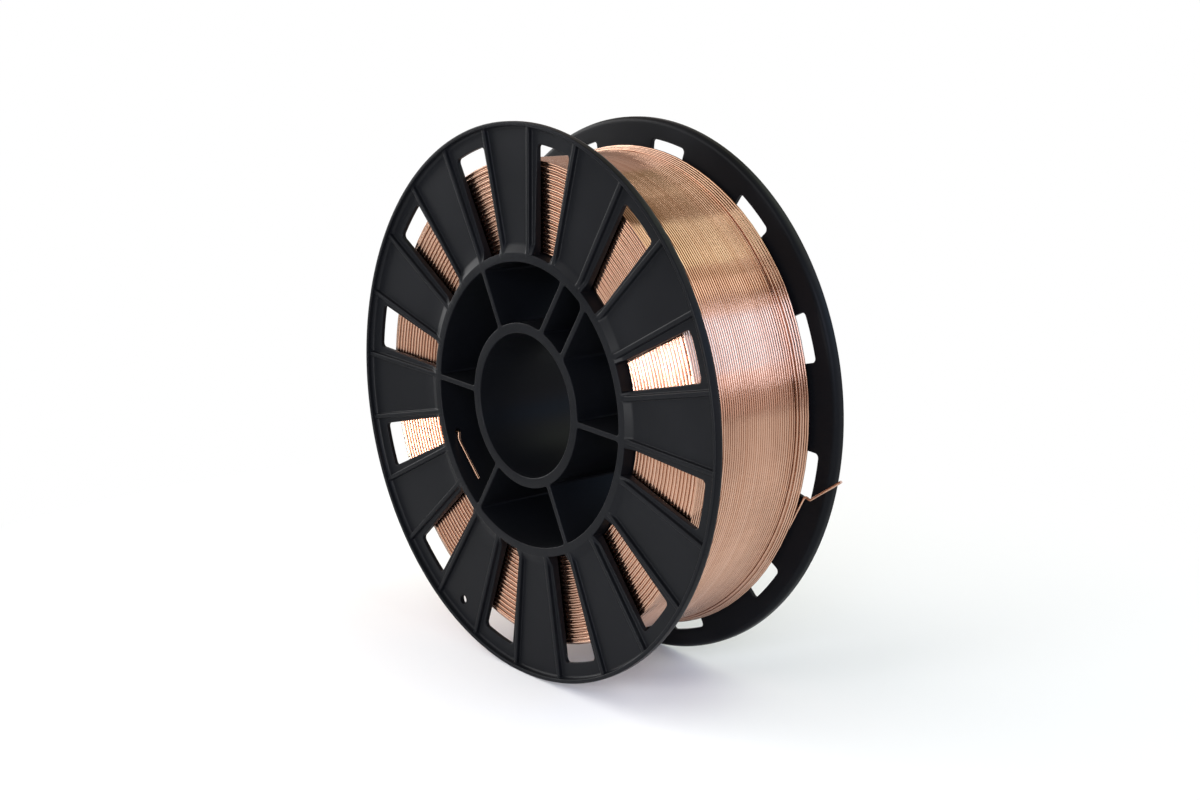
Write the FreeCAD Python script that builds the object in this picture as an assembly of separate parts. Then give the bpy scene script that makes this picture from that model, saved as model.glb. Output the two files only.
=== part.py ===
import FreeCAD, Part
import math
import os

# Wire spool: a black moulded plastic spool of two halves, wound with copper-coated wire.
# Millimetres and degrees. Y is the spindle axis, the near flange faces -Y, and the origin is
# the middle of the bore. An angle is measured round Y from +Z towards +X.
# A height is measured outwards from the hub face of a half, along the spindle axis.

# Whole spool
RIM_RADIUS = 100.0
HUB_WIDTH = 55.0
RIM_PROUD = 2.2

# Hub
BORE_RADIUS = 26.0
SLEEVE_WALL = 3.8
BARREL_RADIUS = 54.6
BARREL_WALL = 3.3
HUB_RIB_THICKNESS = 2.0
HUB_RIB_FIRST = 93.0
HUB_RIB_STEP = 60.0
HUB_RIB_COUNT = 5
BORE_CHAMFER = 0.5

# Drive pocket, where a machine's brake pin enters the hub
POCKET_ANGLE = 33.0
POCKET_WIDTH = 11.2
POCKET_WALL = 2.1
POCKET_CORNER_RADIUS = 3.0

# Flange, with its lip, its sloping web and the round of its outer edge
LIP_THICKNESS = 1.5
RIM_ROUND = 2.0
RIM_ROUND_STEPS = 2
RIM_THICKNESS = 4.0
WIRE_FACE_FALL = 2.6
RAMP_LENGTH = 3.7
WEB_ROOT_DEPTH = 1.4
WEB_RIM_DEPTH = 0.2

# Flange ribs
RIB_COUNT = 24
RIB_FIRST = 3.0
RIB_THICKNESS = 1.75
RIB_RIM_HEIGHT = 1.3
RIB_ROOT_DROP = 0.1

# Flange windows
WINDOW_COUNT = 12
WINDOW_FIRST = 10.7
WINDOW_RIM_GAP = 7.0
WINDOW_ROOT_WIDTH = 9.8
WINDOW_RIM_WIDTH = 17.4
WINDOW_CORNER = 1.5

# Holes for the ends of the wire
ANCHOR_RADIUS = 1.9
ANCHOR_RIM_GAP = 8.0
ANCHOR_ANGLE = 205.5
BARREL_HOLE_RADIUS = 1.3
BARREL_HOLE_ANGLE = 248.6
BARREL_HOLE_DEPTH = 5.2

# Wire
WIRE_DIAMETER = 1.0
PACK_RIM_GAP = 12.8
BAND_RISE = 2.1
BAND_WIDTH = 5.0
LOOPS = 10
SIDES = 4
WIRE_SEAT = 0.3
LIFT_ANGLE = 119.0
END_SIDES = 8

# Outer end of the wire, from the pack to its tip
END_LIFT = 21.5
END_BEND = 1.0
END_KINK_RIM_GAP = 6.7
END_KINK_ANGLE = 105.7
END_TIP_REACH = 4.9
END_TIP_ANGLE = 98.6

# Inner end of the wire, in a hub compartment
START_BEND = 1.0
START_WALL_GAP = 0.75
START_ELBOW_ANGLE = 245.0
START_ELBOW_BEND = 6.0
START_DEPTH = 4.1
START_TIP_WALL_GAP = 3.5
START_TIP_ANGLE = 224.0

half_width = HUB_WIDTH / 2
sleeve_radius = BORE_RADIUS + SLEEVE_WALL
barrel_inside = BARREL_RADIUS - BARREL_WALL
web_root = BARREL_RADIUS + RAMP_LENGTH
lip_inside = RIM_RADIUS - LIP_THICKNESS
wire_radius = WIRE_DIAMETER / 2
axis = FreeCAD.Vector(0, 1, 0)
origin = FreeCAD.Vector(0, 0, 0)


def polar(radius, angle, y):
    turn = math.radians(angle)
    return FreeCAD.Vector(radius * math.sin(turn), y, radius * math.cos(turn))


def bent(points, radii):
    """Edges of a polyline whose inner corners are arcs of the given radii."""
    edges = []
    start = points[0]
    for before, corner, after, radius in zip(points, points[1:], points[2:], radii):
        back = (before - corner).normalize()
        ahead = (after - corner).normalize()
        half_angle = back.getAngle(ahead) / 2
        reach = radius / math.tan(half_angle)
        top = radius / math.sin(half_angle) - radius
        arc_start = corner + back * reach
        arc_middle = corner + (back + ahead).normalize() * top
        arc_end = corner + ahead * reach
        edges.append(Part.LineSegment(start, arc_start).toShape())
        edges.append(Part.Arc(arc_start, arc_middle, arc_end).toShape())
        start = arc_end
    edges.append(Part.LineSegment(start, points[-1]).toShape())
    return edges


def turned(outline):
    """Solid of revolution about the spindle axis of an outline of (radius, y) pairs."""
    points = [FreeCAD.Vector(0, y, radius) for radius, y in outline]
    face = Part.Face(Part.makePolygon(points + points[:1]))
    return face.revolve(origin, axis, 360)


def face_y(side, height):
    """Place along Y of a height over the hub face of one half; side is -1 near, +1 far."""
    return side * (half_width + height)


def wire_face(radius):
    """Height of the flange face that the wire lies against; it leans out towards the rim."""
    rim = RIM_RADIUS - RIM_ROUND
    lean = WIRE_FACE_FALL / (rim - BARREL_RADIUS)
    return RIM_PROUD - RIM_THICKNESS - lean * (rim - radius)


def web_face(radius):
    """Height of the flange's outer face between its ribs."""
    lean = (WEB_ROOT_DEPTH - WEB_RIM_DEPTH) / (lip_inside - web_root)
    return -WEB_RIM_DEPTH - lean * (lip_inside - radius)


def sector(inner, outer, inner_width, outer_width, low, high):
    """Prism between two radii and two side walls, from low to high along Y, centred on +Z."""
    inner_x = inner_width / 2
    outer_x = outer_width / 2
    inner_z = math.sqrt(inner ** 2 - inner_x ** 2)
    outer_z = math.sqrt(outer ** 2 - outer_x ** 2)
    inner_left = FreeCAD.Vector(-inner_x, low, inner_z)
    inner_right = FreeCAD.Vector(inner_x, low, inner_z)
    outer_left = FreeCAD.Vector(-outer_x, low, outer_z)
    outer_right = FreeCAD.Vector(outer_x, low, outer_z)
    edges = [
        Part.LineSegment(inner_left, outer_left).toShape(),
        Part.Arc(outer_left, FreeCAD.Vector(0, low, outer), outer_right).toShape(),
        Part.LineSegment(outer_right, inner_right).toShape(),
        Part.Arc(inner_right, FreeCAD.Vector(0, low, inner), inner_left).toShape(),
    ]
    return Part.Face(Part.Wire(edges)).extrude(FreeCAD.Vector(0, high - low, 0))


def outer_corners(prism, sides):
    """Edges along Y at the outer end of a sector prism; sides lists -1 for left, +1 for right."""
    middle = (prism.BoundBox.ZMin + prism.BoundBox.ZMax) / 2
    found = []
    for edge in prism.Edges:
        first = edge.Vertexes[0].Point
        second = edge.Vertexes[-1].Point
        along = abs(first.x - second.x) < 0.001 and abs(first.z - second.z) < 0.001
        if along and first.z > middle and math.copysign(1, first.x) in sides:
            found.append(edge)
    return found


def placed(shape, angle):
    copy = shape.copy()
    copy.rotate(origin, axis, angle)
    return copy


def flange_and_barrel(side):
    outline = [
        (lip_inside, face_y(side, RIM_PROUD)),
        (RIM_RADIUS, face_y(side, RIM_PROUD)),
    ]
    round_centre = RIM_PROUD - RIM_THICKNESS + RIM_ROUND
    for step in range(RIM_ROUND_STEPS + 1):
        turn = math.pi / 2 * step / RIM_ROUND_STEPS
        radius = RIM_RADIUS - RIM_ROUND + RIM_ROUND * math.cos(turn)
        outline.append((radius, face_y(side, round_centre - RIM_ROUND * math.sin(turn))))
    outline += [
        (BARREL_RADIUS, face_y(side, wire_face(BARREL_RADIUS))),
        (BARREL_RADIUS, 0),
        (barrel_inside, 0),
        (barrel_inside, face_y(side, 0)),
        (BARREL_RADIUS, face_y(side, 0)),
        (web_root, face_y(side, web_face(web_root))),
        (lip_inside, face_y(side, web_face(lip_inside))),
    ]
    return turned(outline)


def bore_sleeve(side):
    outline = [
        (BORE_RADIUS, 0),
        (sleeve_radius, 0),
        (sleeve_radius, face_y(side, 0)),
        (BORE_RADIUS + BORE_CHAMFER, face_y(side, 0)),
        (BORE_RADIUS, face_y(side, -BORE_CHAMFER)),
    ]
    return turned(outline)


def flange_rib(side):
    """One rib on the flange's outer face, buried in the hub ring, the web and the lip."""
    start = BARREL_RADIUS - BARREL_WALL / 2
    end = RIM_RADIUS - LIP_THICKNESS / 2
    climb = (RIB_ROOT_DROP + RIB_RIM_HEIGHT) / (lip_inside - BARREL_RADIUS)
    tops = [climb * (radius - BARREL_RADIUS) - RIB_ROOT_DROP for radius in (start, end)]
    roots = [(web_face(radius) + wire_face(radius)) / 2 for radius in (start, end)]
    x = -RIB_THICKNESS / 2
    corners = [
        FreeCAD.Vector(x, face_y(side, roots[0]), start),
        FreeCAD.Vector(x, face_y(side, roots[1]), end),
        FreeCAD.Vector(x, face_y(side, tops[1]), end),
        FreeCAD.Vector(x, face_y(side, tops[0]), start),
    ]
    face = Part.Face(Part.makePolygon(corners + corners[:1]))
    return face.extrude(FreeCAD.Vector(RIB_THICKNESS, 0, 0))


def hub_wall(side, thickness):
    """Straight wall along the spindle axis between the sleeve and the barrel."""
    inner = sleeve_radius - SLEEVE_WALL / 2
    outer = barrel_inside + BARREL_WALL / 2
    low, high = sorted((0, face_y(side, 0)))
    return sector(inner, outer, thickness, thickness, low, high)


def moulded_half(side):
    """Half of the spool: flange, barrel, bore sleeve, hub ribs and drive pocket in one moulding."""
    half = flange_and_barrel(side)
    ribs = [placed(flange_rib(side), RIB_FIRST + index * 360 / RIB_COUNT)
            for index in range(RIB_COUNT)]
    walls = [placed(hub_wall(side, HUB_RIB_THICKNESS), HUB_RIB_FIRST + index * HUB_RIB_STEP)
             for index in range(HUB_RIB_COUNT)]
    pocket_block = hub_wall(side, POCKET_WIDTH + 2 * POCKET_WALL)
    half = half.multiFuse([bore_sleeve(side), placed(pocket_block, POCKET_ANGLE)] + walls + ribs)

    low, high = sorted((face_y(side, 2 * wire_face(BARREL_RADIUS)), face_y(side, RIM_PROUD)))
    window_end = RIM_RADIUS - WINDOW_RIM_GAP
    window = sector(BARREL_RADIUS, window_end, WINDOW_ROOT_WIDTH, WINDOW_RIM_WIDTH, low, high)
    window = window.makeFillet(WINDOW_CORNER, outer_corners(window, (-1, 1)))
    cuts = [placed(window, WINDOW_FIRST + index * 360 / WINDOW_COUNT)
            for index in range(WINDOW_COUNT)]
    low, high = sorted((-side, face_y(side, 1)))
    pocket = sector(sleeve_radius, barrel_inside, POCKET_WIDTH, POCKET_WIDTH, low, high)
    pocket = pocket.makeFillet(POCKET_CORNER_RADIUS, outer_corners(pocket, (1,)))
    cuts.append(placed(pocket, POCKET_ANGLE))
    if side < 0:
        cuts += [anchor_hole(side), barrel_hole(side)]
    return half.cut(cuts).removeSplitter()


def anchor_hole(side):
    """Small hole through the flange's web, to hook the end of the wire in."""
    place = RIM_RADIUS - ANCHOR_RIM_GAP
    start = polar(place, ANCHOR_ANGLE, face_y(side, wire_face(BARREL_RADIUS)))
    return Part.makeCylinder(ANCHOR_RADIUS, RIM_THICKNESS * 2, start, axis * side)


def barrel_hole(side):
    """Small hole through the barrel's wall, where the wire's inner end comes in."""
    y = face_y(side, -BARREL_HOLE_DEPTH)
    outward = polar(1, BARREL_HOLE_ANGLE, 0)
    start = polar(barrel_inside - BARREL_WALL / 2, BARREL_HOLE_ANGLE, y)
    return Part.makeCylinder(BARREL_HOLE_RADIUS, 2 * BARREL_WALL, start, outward)


# The wire's pack: its outer layer winds over a plain core, which stands for the layers beneath
pack_radius = RIM_RADIUS - PACK_RIM_GAP
band_radius = pack_radius + BAND_RISE
core_radius = pack_radius - WIRE_DIAMETER - WIRE_SEAT
band_core_radius = band_radius - WIRE_DIAMETER - WIRE_SEAT
pack_side = half_width + wire_face(pack_radius) - WIRE_SEAT
band_side = half_width + wire_face(band_radius) - WIRE_SEAT
band_start = band_side - BAND_WIDTH
first_y = -pack_side + wire_radius
last_y = band_side - wire_radius
pitch = (last_y - first_y) / LOOPS
climb_end = (band_start - wire_radius - first_y) / pitch


def wire_core():
    inside = BARREL_RADIUS + WIRE_SEAT
    root_side = half_width + wire_face(inside) - WIRE_SEAT
    outline = [
        (inside, -root_side),
        (core_radius, -half_width - wire_face(core_radius) + WIRE_SEAT),
        (core_radius, band_start - pitch),
        (band_core_radius, band_start),
        (band_core_radius, half_width + wire_face(band_core_radius) - WIRE_SEAT),
        (inside, root_side),
    ]
    return turned(outline)


def layer_point(turns):
    """Point and direction of the outer layer's centre line after a number of turns."""
    part = min(max(turns - climb_end + 1, 0), 1)
    radius = pack_radius - wire_radius + BAND_RISE * (1 - math.cos(math.pi * part)) / 2
    radius_rate = BAND_RISE * math.pi / 2 * math.sin(math.pi * part)
    angle = LIFT_ANGLE + 360 * (LOOPS - turns)
    point = polar(radius, angle, first_y + pitch * turns)
    onward = polar(-2 * math.pi * radius, angle + 90, 0)
    direction = onward + polar(radius_rate, angle, pitch)
    return point, direction.normalize()


def biarc(start, start_direction, end, end_direction):
    """Two arcs that leave start and reach end in the given directions, as Part edges."""
    across = end - start
    both = start_direction + end_direction
    spread = 4 - both.dot(both)
    along = across.dot(both)
    reach = (math.sqrt(along ** 2 + across.dot(across) * spread) - along) / spread
    first = start + start_direction * reach
    second = end - end_direction * reach
    joint = (first + second) / 2
    return [tangent_arc(start, first, joint), tangent_arc(joint, second, end)]


def tangent_arc(start, corner, end):
    """Arc from start to end inside a corner that is as far from one as from the other."""
    middle = (start + end) / 2
    chord = (end - start).Length
    half_angle = (corner - start).getAngle(end - start) / 2
    top = middle + (corner - middle).normalize() * (chord / 2 * math.tan(half_angle))
    return Part.Arc(start, top, end).toShape()


def tube(edges, direction, up, sides):
    """Wire along a path that starts in the given direction; up turns its many-sided section."""
    start = edges[0].Vertexes[0].Point
    side = direction.cross(up).normalize()
    up = side.cross(direction).normalize()
    corners = []
    for index in range(sides):
        turn = 2 * math.pi * index / sides
        corners.append(start + (up * math.cos(turn) + side * math.sin(turn)) * wire_radius)
    shell = Part.BRepOffsetAPI.MakePipeShell(Part.Wire(edges))
    shell.add(Part.makePolygon(corners + corners[:1]))
    shell.build()
    shell.makeSolid()
    return shell.shape()


def wire_outer_layer():
    knots = [layer_point(index / 4) for index in range(4 * LOOPS + 1)]
    start, direction = knots[0]
    end, last_direction = knots[-1]
    edges = [Part.LineSegment(start - direction * WIRE_DIAMETER, start).toShape()]
    for before, after in zip(knots, knots[1:]):
        edges += biarc(*before, *after)
    edges.append(Part.LineSegment(end, end + last_direction * WIRE_DIAMETER).toShape())
    return tube(edges, direction, polar(1, LIFT_ANGLE, 0), SIDES)


def least_gap():
    """Least gap from the outer layer's tube to itself, measured on points of its centre line."""
    steps = 72
    points = [layer_point(index / steps)[0] for index in range(steps * LOOPS + 1)]
    least = 2 * pack_radius
    for index, point in enumerate(points):
        for other in points[index + steps // 2:index + steps * 3 // 2]:
            least = min(least, point.distanceToPoint(other))
    return least - WIRE_DIAMETER


def wire_outer_end():
    """Free end of the wire: off the pack at a tangent, kinked at a window, past the far rim."""
    end, direction = layer_point(LOOPS)
    start = end + direction * WIRE_DIAMETER
    kink = end + direction * END_LIFT
    kink_radius = RIM_RADIUS - END_KINK_RIM_GAP
    beside_flange = half_width + wire_face(kink_radius) - wire_radius - WIRE_SEAT / 2
    points = [
        start,
        kink,
        polar(kink_radius, END_KINK_ANGLE, beside_flange),
        polar(RIM_RADIUS + END_TIP_REACH, END_TIP_ANGLE, beside_flange),
    ]
    edges = bent(points, [END_BEND, END_BEND])
    return tube(edges, direction, polar(1, LIFT_ANGLE, 0), END_SIDES)


def wire_inner_end():
    """Start of the wire: in through the barrel's hole, then along the inside of its wall."""
    root_y = -half_width + BARREL_HOLE_DEPTH
    strand_y = -half_width + START_DEPTH
    root = polar(BARREL_RADIUS + WIRE_SEAT, BARREL_HOLE_ANGLE, root_y)
    points = [
        root,
        polar(barrel_inside - START_WALL_GAP, BARREL_HOLE_ANGLE, root_y),
        polar(barrel_inside - START_WALL_GAP, START_ELBOW_ANGLE, strand_y),
        polar(barrel_inside - START_TIP_WALL_GAP, START_TIP_ANGLE, strand_y),
    ]
    direction = (points[1] - root).normalize()
    return tube(bent(points, [START_BEND, START_ELBOW_BEND]), direction, axis, END_SIDES)


parts = {
    "spool_half_near": moulded_half(-1),
    "spool_half_far": moulded_half(1),
    "wire_core": wire_core(),
    "wire_outer_layer": wire_outer_layer(),
    "wire_outer_end": wire_outer_end(),
    "wire_inner_end": wire_inner_end(),
}
print("least gap between turns", round(least_gap(), 2))
print("radii of the wire ends' bends", END_BEND, START_BEND, START_ELBOW_BEND)
os.makedirs("parts", exist_ok=True)
for name, shape in parts.items():
    print(name, shape.ShapeType, shape.isValid(), round(shape.Volume, 1), len(shape.Faces))
    shape.exportStep("parts/" + name + ".step")
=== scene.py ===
import bmesh
import bpy
import math
from mathutils import Matrix, Vector


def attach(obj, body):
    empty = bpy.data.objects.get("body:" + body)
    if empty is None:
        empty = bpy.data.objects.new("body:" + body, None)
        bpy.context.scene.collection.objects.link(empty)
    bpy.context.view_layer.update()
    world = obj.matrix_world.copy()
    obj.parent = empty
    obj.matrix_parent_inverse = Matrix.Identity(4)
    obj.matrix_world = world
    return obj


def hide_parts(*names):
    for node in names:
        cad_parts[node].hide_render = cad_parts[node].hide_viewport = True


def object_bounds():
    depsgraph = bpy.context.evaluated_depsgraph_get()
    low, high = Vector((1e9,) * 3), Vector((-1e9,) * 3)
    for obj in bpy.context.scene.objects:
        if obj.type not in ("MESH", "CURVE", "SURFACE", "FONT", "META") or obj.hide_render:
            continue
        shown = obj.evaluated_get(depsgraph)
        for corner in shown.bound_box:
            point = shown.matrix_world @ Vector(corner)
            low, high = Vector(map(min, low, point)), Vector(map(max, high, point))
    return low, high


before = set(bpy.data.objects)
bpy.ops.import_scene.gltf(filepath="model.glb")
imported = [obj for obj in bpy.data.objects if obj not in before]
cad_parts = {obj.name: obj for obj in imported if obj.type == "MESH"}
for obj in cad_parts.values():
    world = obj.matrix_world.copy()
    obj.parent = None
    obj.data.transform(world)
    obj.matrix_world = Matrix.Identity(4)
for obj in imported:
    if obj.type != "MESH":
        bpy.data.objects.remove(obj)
cad_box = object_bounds()

# Camera: it stands 0.6 m off, a little above the spindle and well to the right of the near
# flange, where the photograph was taken from. The lens alone gives the photograph's framing.
MM = 0.001
CAMERA_DISTANCE = 595.19 * MM
CAMERA_ASIDE = 6.29 * MM
CAMERA_BELOW = 1.69 * MM
view_back = Vector((0.744, -0.633, 0.2135)).normalized()
view_right = Vector((-view_back.y, view_back.x, 0)).normalized()
view_up = view_back.cross(view_right)
camera = bpy.data.objects.new("camera", bpy.data.cameras.new("camera"))
camera.data.lens = 48.73
camera.data.sensor_width = 36
camera_place = view_back * CAMERA_DISTANCE + view_right * CAMERA_ASIDE - view_up * CAMERA_BELOW
facing = Matrix((view_right, view_up, view_back)).transposed()
camera.matrix_world = Matrix.Translation(camera_place) @ facing.to_4x4()
bpy.context.scene.collection.objects.link(camera)
bpy.context.scene.camera = camera


# Black moulded plastic: high-impact polystyrene as it leaves a polished steel mould. It gives the
# eye a satin black with soft, weak reflections and broad flow marks that are greyer with dust. Its
# skin grain is drawn coarser than the real one, which is too fine to show.
def to_linear(colour):
    """Linear red, green, blue and alpha of an sRGB hex colour."""
    parts = [int(colour[first:first + 2], 16) / 255 for first in (1, 3, 5)]
    return [part / 12.92 if part < 0.04045 else ((part + 0.055) / 1.055) ** 2.4
            for part in parts] + [1]


def node(tree, kind, inputs=None, **settings):
    """Add a node with its settings; each of its inputs takes a value or a link from a socket."""
    made = tree.nodes.new(kind)
    for name, value in settings.items():
        setattr(made, name, value)
    for name, value in (inputs or {}).items():
        if isinstance(value, bpy.types.NodeSocket):
            tree.links.new(value, made.inputs[name])
        else:
            made.inputs[name].default_value = value
    return made


def new_material(name):
    """Empty material with its node tree and its output node."""
    material = bpy.data.materials.new(name)
    material.use_nodes = True
    tree = material.node_tree
    tree.nodes.clear()
    return material, tree, node(tree, "ShaderNodeOutputMaterial")


PLASTIC = "#0d0e10"
PLASTIC_DUSTY = "#131417"
SKIN_GRAIN = 1.6 * MM
SKIN_DEPTH = 0.012 * MM
FLOW_MARK = 30 * MM

moulded_plastic, tree, output = new_material("black_moulded_polystyrene")
spot = node(tree, "ShaderNodeTexCoord").outputs["Object"]
flow = node(tree, "ShaderNodeTexNoise", {"Vector": spot, "Scale": 1 / FLOW_MARK, "Detail": 3.0})
grain = node(tree, "ShaderNodeTexNoise", {"Vector": spot, "Scale": 1 / SKIN_GRAIN, "Detail": 2.0})
tone = node(tree, "ShaderNodeMix", {
    "Factor": flow.outputs["Fac"], "A": to_linear(PLASTIC), "B": to_linear(PLASTIC_DUSTY),
}, data_type="RGBA")
sheen_range = node(tree, "ShaderNodeMapRange", {
    "Value": flow.outputs["Fac"], "From Min": 0.3, "From Max": 0.7, "To Min": 0.32, "To Max": 0.42,
})
skin = node(tree, "ShaderNodeBump", {
    "Height": grain.outputs["Fac"], "Distance": SKIN_DEPTH, "Strength": 0.6,
})
plastic = node(tree, "ShaderNodeBsdfPrincipled", {
    "Base Color": tone.outputs["Result"], "Roughness": sheen_range.outputs["Result"],
    "IOR": 1.5, "Specular IOR Level": 0.07, "Normal": skin.outputs["Normal"],
})
tree.links.new(plastic.outputs["BSDF"], output.inputs["Surface"])


# Spool halves: each is one moulding of black plastic, with a flange, a hub barrel, a bore sleeve
# and hub ribs. The two are mirror images, and they meet butt to butt in the middle of the hub.
# Sizes are in millimetres; a height is measured outwards from the hub's face.
HALF_WIDTH = 27.5
BARREL = 54.6
BARREL_INSIDE = 51.3
SLEEVE = 29.8
BORE = 26.0
RING_EDGE = 0.25
RAMP_END = 58.3
WEB_ROOT_HEIGHT = -1.4
LIP_INSIDE = 98.5
RIM = 100.0
RIM_HEIGHT = 2.2
LIP_FILLET = 1.3
LIP_EDGE = 0.4
RIM_ROUND = 2.0
FILLET_STEPS = 4
RIM_STEPS = 6
WIRE_FACE_RIM_HEIGHT = -1.8
WIRE_FACE_ROOT_HEIGHT = -4.4
WEB_RISE = 1.2
RIB_RISE = 1.4
RIB_ROOT_DROP = 0.1
RIB_FULL_HEIGHT = 0.8
RIB_FIRST = 3.0
RIB_STEP = 15.0
WINDOW_PLACE = 10.7
WINDOW_TOP = 93.0
WINDOW_CORNER = 1.5
WINDOW_HALF_AT_HUB = 4.9
WINDOW_HALF_AT_TOP = 8.7
WINDOW_HUB_REACH = 54.38
WINDOW_TOP_REACH = 92.59
WINDOW_LEAN = (WINDOW_HALF_AT_TOP - WINDOW_HALF_AT_HUB) / (WINDOW_TOP_REACH - WINDOW_HUB_REACH)
WINDOW_BASE = WINDOW_HALF_AT_HUB - WINDOW_LEAN * WINDOW_HUB_REACH
SECTORS = 12
HALVES = ((-1, "spool_half_near"), (1, "spool_half_far"))

# A rib's cross-section: distance from its middle, then its height over the web where the foot
# rounds into the web, or its depth below the rib's top where the top is rounded.
RIB_SECTION = ((0.0, None, 0.0), (0.5, None, 0.0), (0.76, None, 0.1), (0.875, None, 0.36),
               (0.95, 0.4, None), (1.07, 0.12, None), (1.35, 0.0, None))
# An edge round: distance outside the edge, and how far the surface falls there.
EDGE_ROUND = ((0.0, 0.3), (0.09, 0.09), (0.3, 0.0))
# Lines across a window and a plain panel, and rows from the hub to the lip.
WINDOW_PARTS = (-0.937, -0.828, -0.55, -0.28, 0.0, 0.28, 0.55, 0.828, 0.937)
PLAIN_PANEL_LINES = 6
WEB_RADII = (BARREL, 55.8, 57.0, RAMP_END, 64.0, 70.0, 76.0, 82.0, 87.0,
             WINDOW_TOP - WINDOW_CORNER, 92.4, *[WINDOW_TOP + wide for wide, fall in EDGE_ROUND],
             95.2, 97.2)
WINDOW_TOP_ROW = WEB_RADII.index(WINDOW_TOP)


def web_height(radius):
    """Height of the flange's outer face, without ribs: the ramp at the hub, then the web."""
    if radius < RAMP_END:
        fall = (radius - BARREL) / (RAMP_END - BARREL)
        return -RIB_ROOT_DROP + fall * (WEB_ROOT_HEIGHT + RIB_ROOT_DROP)
    return WEB_ROOT_HEIGHT + WEB_RISE * (radius - RAMP_END) / (LIP_INSIDE - RAMP_END)


def wire_face_height(radius):
    """Height of the flange's inner face, which leans outwards and guides the wire."""
    lean = (WIRE_FACE_RIM_HEIGHT - WIRE_FACE_ROOT_HEIGHT) / (RIM - RIM_ROUND - BARREL)
    return WIRE_FACE_RIM_HEIGHT - lean * (RIM - RIM_ROUND - radius)


def rib_height(radius, height, rib):
    """Height of a surface point that a rib may cover; rib is an entry of RIB_SECTION or None.

    Where a rib is still low, near the hub, its section is squeezed to its height."""
    if rib is None:
        return height
    floor = web_height(radius)
    top = RIB_RISE * (radius - BARREL) / (LIP_INSIDE - BARREL) - RIB_ROOT_DROP
    squeeze = min(1, max(top - floor, 0) / RIB_FULL_HEIGHT)
    over_web, below_top = rib[1:]
    rise = top - below_top * squeeze if over_web is None else floor + over_web * squeeze
    return max(height, rise)


def line_turn(line, radius):
    """Angle at a radius of a line beside a spoke: (spoke in degrees, base, lean) of the line."""
    spoke, base, lean = line
    along = math.sqrt(radius ** 2 * (1 + lean ** 2) - base ** 2) - base * lean
    along /= 1 + lean ** 2
    return math.radians(spoke) + math.atan2(base + lean * along, along)


def sector_columns():
    """The lines that run outwards over one twelfth of a flange, from rib to rib but one.

    Each is (line, rib entry or None, window part): a window part is ("side", step, -1 or +1) on
    the window's edge round, ("inside",) between its sides, or None."""
    first_rib, middle_rib, last_rib = [RIB_FIRST + RIB_STEP * index for index in range(3)]
    columns = [((first_rib, entry[0], 0), entry, None) for entry in RIB_SECTION]
    for step in (2, 1, 0):
        base = WINDOW_BASE + EDGE_ROUND[step][0]
        columns.append(((WINDOW_PLACE, -base, -WINDOW_LEAN), None, ("side", step, -1)))
    for part in WINDOW_PARTS:
        line = (WINDOW_PLACE, part * WINDOW_BASE, part * WINDOW_LEAN)
        columns.append((line, None, ("inside",)))
    for step in (0, 1, 2):
        base = WINDOW_BASE + EDGE_ROUND[step][0]
        columns.append(((WINDOW_PLACE, base, WINDOW_LEAN), None, ("side", step, 1)))
    columns += [((middle_rib, -entry[0], 0), entry, None) for entry in reversed(RIB_SECTION)]
    columns += [((middle_rib, entry[0], 0), entry, None) for entry in RIB_SECTION[1:]]
    for index in range(1, PLAIN_PANEL_LINES + 1):
        spoke = middle_rib + RIB_STEP * index / (PLAIN_PANEL_LINES + 1)
        columns.append(((spoke, 0, 0), None, None))
    columns += [((last_rib, -entry[0], 0), entry, None) for entry in reversed(RIB_SECTION)]
    return columns


def corner_point(step, share, side):
    """Radius and angle of a point on a window's rounded outer corner; share 0 to 1 of its arc."""
    reach = WINDOW_CORNER + EDGE_ROUND[step][0]
    centre_radius = WINDOW_TOP - WINDOW_CORNER
    base = WINDOW_BASE - WINDOW_CORNER
    turn = line_turn((0, base, WINDOW_LEAN), centre_radius)
    centre = Vector((math.sin(turn), math.cos(turn))) * centre_radius
    across = Vector((1, -WINDOW_LEAN)).normalized()
    outward = centre.normalized()
    arc = math.pi / 2 * share
    point = centre + (across * math.cos(arc) + outward * math.sin(arc)).normalized() * reach
    return point.length, math.radians(WINDOW_PLACE) + side * math.atan2(point.x, point.y)


def sector_plan(columns):
    """Radius and angle of each crossing of the rows WEB_RADII with the columns.

    Near a window's outer corners the crossings lie on the corner's arcs instead."""
    plan = [[(radius, line_turn(column[0], radius)) for column in columns]
            for radius in WEB_RADII]
    top = WINDOW_TOP_ROW
    for side in (-1, 1):
        edge = [index for index, column in enumerate(columns)
                if column[2] and column[2][0] == "side" and column[2][2] == side]
        middle = edge[-1] if side < 0 else edge[0]
        for step in range(3):
            column = middle + side * step
            row = top + step
            half_steps = step + 2
            for count in range(1, half_steps):
                share = count / half_steps / 2
                plan[top - 2 + count][column] = corner_point(step, share, side)
                plan[row][column - side * (half_steps - count)] = corner_point(step, 1 - share, side)
            plan[row][column] = corner_point(step, 0.5, side)
    return plan


def fall_at(row, column):
    """How far a surface falls at a window's edge round, by row of WEB_RADII and column."""
    if column[2] is None:
        return 0
    step = row - WINDOW_TOP_ROW
    if column[2][0] == "side":
        step = max(step, column[2][1])
    if step < 0 or step > 2:
        return 0
    return EDGE_ROUND[step][1]


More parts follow.
